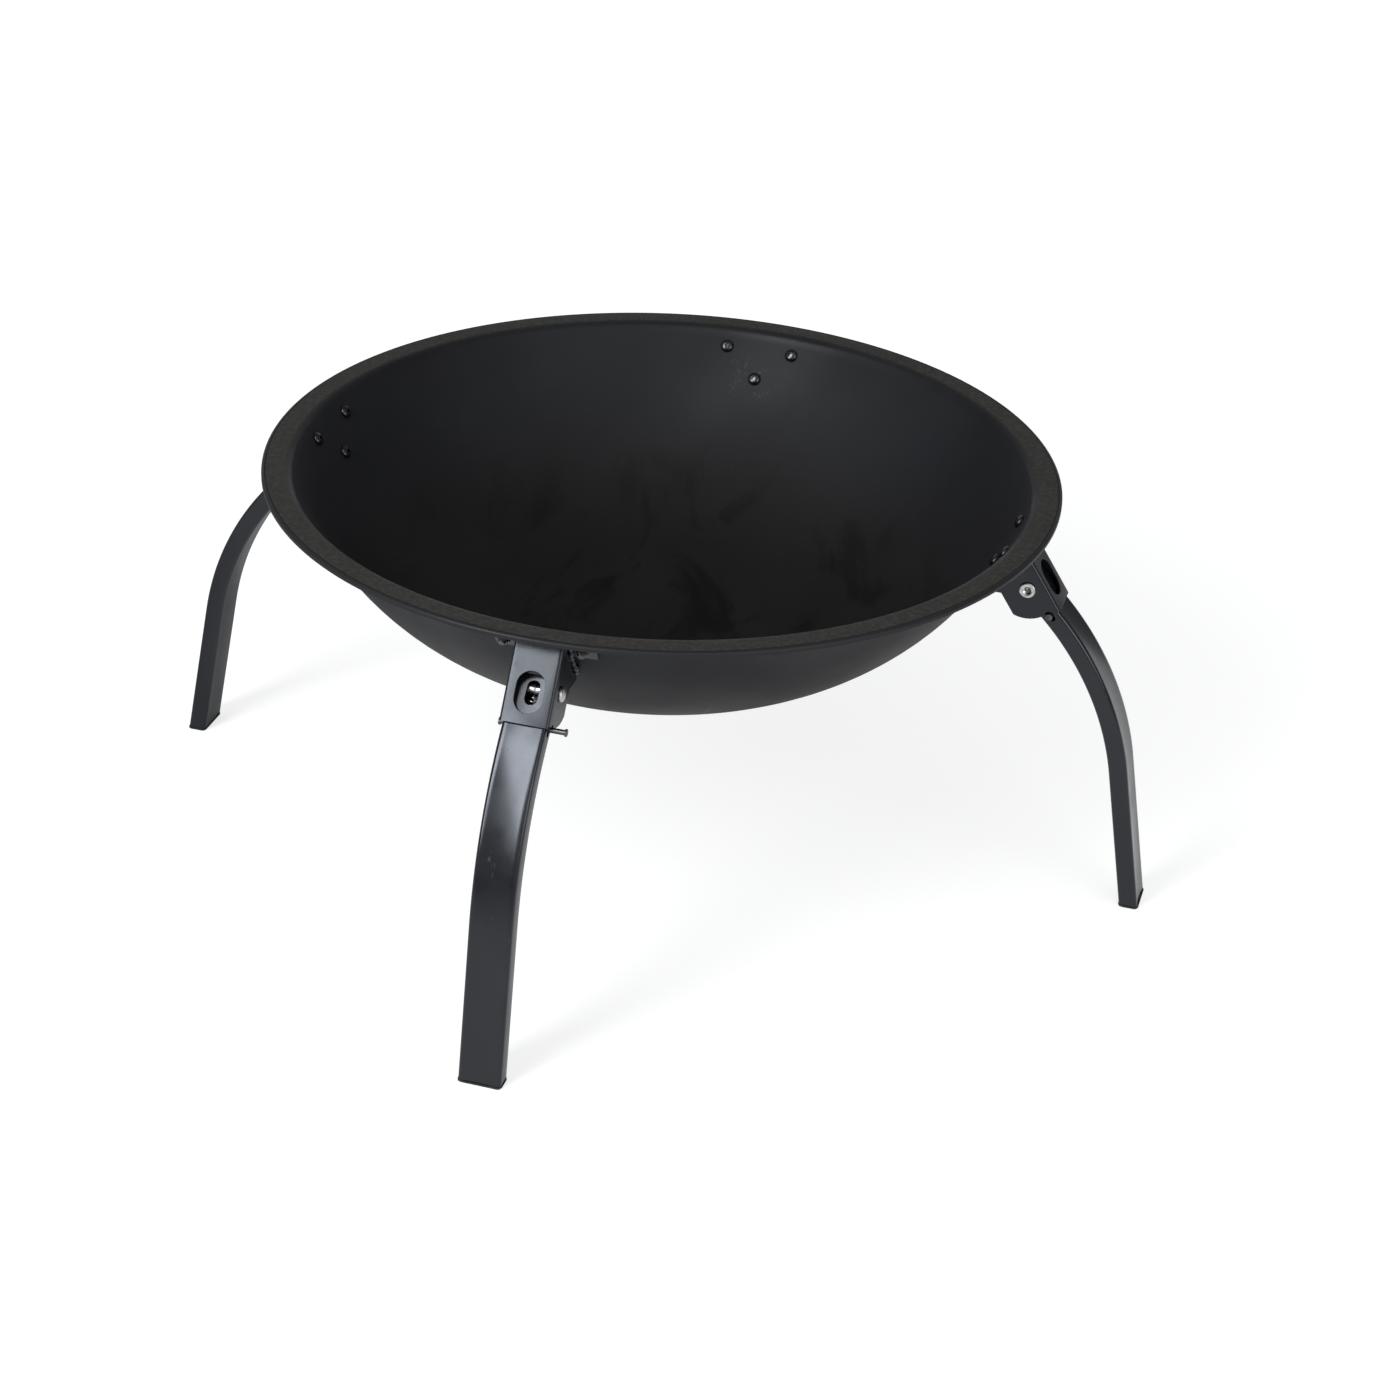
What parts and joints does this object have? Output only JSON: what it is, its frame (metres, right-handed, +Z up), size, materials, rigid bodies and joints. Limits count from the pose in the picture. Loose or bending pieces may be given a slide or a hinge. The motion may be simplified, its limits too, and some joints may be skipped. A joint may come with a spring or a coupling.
{
  "type": "fire bowl",
  "caption": "Low round fire bowl: a dished steel pan with a flat rim on curved folding tube legs, each with a sprung lock pin.",
  "frame": {"origin": "on the floor, under the centre of the bowl", "axes": "+Z up, along the bowl's axis; +X out along the right leg; +Y out along the back leg"},
  "size_m": [0.7136, 0.7136, 0.272],
  "materials": {
    "bowl_paint": "heat-resistant black paint, fine satin grain",
    "bracket_paint": "black paint, satin",
    "leg_paint": "black paint, satin",
    "foot_plastic": "moulded, matt",
    "rivet_zinc": "bright zinc plate",
    "pin_steel": "plain turned steel",
    "spring_steel": "bright spring wire",
    "screw_black": "black oxide, light sheen"
  },
  "bodies": {
    "bowl_assembly": {"bowl": "bowl_paint", "right_mount_plate": "bracket_paint", "right_leg_bracket": "bracket_paint", "right_pivot_rivet": "rivet_zinc", "right_bowl_screw_upper_a": "screw_black", "right_bowl_screw_upper_b": "screw_black", "right_bowl_screw_lower": "screw_black", "right_bowl_nut_upper_a": "screw_black", "right_bowl_nut_upper_b": "screw_black", "right_bowl_nut_lower": "screw_black", "back_mount_plate": "bracket_paint", "back_leg_bracket": "bracket_paint", "back_pivot_rivet": "rivet_zinc", "back_bowl_screw_upper_a": "screw_black", "back_bowl_screw_upper_b": "screw_black", "back_bowl_screw_lower": "screw_black", "back_bowl_nut_upper_a": "screw_black", "back_bowl_nut_upper_b": "screw_black", "back_bowl_nut_lower": "screw_black", "left_mount_plate": "bracket_paint", "left_leg_bracket": "bracket_paint", "left_pivot_rivet": "rivet_zinc", "left_bowl_screw_upper_a": "screw_black", "left_bowl_screw_upper_b": "screw_black", "left_bowl_screw_lower": "screw_black", "left_bowl_nut_upper_a": "screw_black", "left_bowl_nut_upper_b": "screw_black", "left_bowl_nut_lower": "screw_black", "front_mount_plate": "bracket_paint", "front_leg_bracket": "bracket_paint", "front_pivot_rivet": "rivet_zinc", "front_bowl_screw_upper_a": "screw_black", "front_bowl_screw_upper_b": "screw_black", "front_bowl_screw_lower": "screw_black", "front_bowl_nut_upper_a": "screw_black", "front_bowl_nut_upper_b": "screw_black", "front_bowl_nut_lower": "screw_black"},
    "right_leg": {"right_leg_tube": "leg_paint", "right_foot_cap": "foot_plastic", "right_lock_spring": "spring_steel"},
    "right_pin": {"right_lock_pin": "pin_steel"},
    "back_leg": {"back_leg_tube": "leg_paint", "back_foot_cap": "foot_plastic", "back_lock_spring": "spring_steel"},
    "back_pin": {"back_lock_pin": "pin_steel"},
    "left_leg": {"left_leg_tube": "leg_paint", "left_foot_cap": "foot_plastic", "left_lock_spring": "spring_steel"},
    "left_pin": {"left_lock_pin": "pin_steel"},
    "front_leg": {"front_leg_tube": "leg_paint", "front_foot_cap": "foot_plastic", "front_lock_spring": "spring_steel"},
    "front_pin": {"front_lock_pin": "pin_steel"}
  },
  "joints": [
    {"name": "right_leg_fold", "type": "hinge", "parent": "bowl_assembly", "child": "right_leg", "pos_m": [0.258, 0, 0.231], "axis": [0, 1, 0], "range_deg": [0, 82]},
    {"name": "right_lock_pin_slide", "type": "slide", "parent": "right_leg", "child": "right_pin", "axis": [0.6947, 0, -0.7193], "range_m": [-0.0012, 0.003], "stiffness_N_per_m": 600, "deforming": ["right_lock_spring"]},
    {"name": "back_leg_fold", "type": "hinge", "parent": "bowl_assembly", "child": "back_leg", "pos_m": [0, 0.258, 0.231], "axis": [-1, 0, 0], "range_deg": [0, 82]},
    {"name": "back_lock_pin_slide", "type": "slide", "parent": "back_leg", "child": "back_pin", "axis": [0, 0.6947, -0.7193], "range_m": [-0.0012, 0.003], "stiffness_N_per_m": 600, "deforming": ["back_lock_spring"]},
    {"name": "left_leg_fold", "type": "hinge", "parent": "bowl_assembly", "child": "left_leg", "pos_m": [-0.258, 0, 0.231], "axis": [0, -1, 0], "range_deg": [0, 82]},
    {"name": "left_lock_pin_slide", "type": "slide", "parent": "left_leg", "child": "left_pin", "axis": [-0.6947, 0, -0.7193], "range_m": [-0.0012, 0.003], "stiffness_N_per_m": 600, "deforming": ["left_lock_spring"]},
    {"name": "front_leg_fold", "type": "hinge", "parent": "bowl_assembly", "child": "front_leg", "pos_m": [0, -0.258, 0.231], "axis": [1, 0, 0], "range_deg": [0, 82]},
    {"name": "front_lock_pin_slide", "type": "slide", "parent": "front_leg", "child": "front_pin", "axis": [0, -0.6947, -0.7193], "range_m": [-0.0012, 0.003], "stiffness_N_per_m": 600, "deforming": ["front_lock_spring"]}
  ]
}
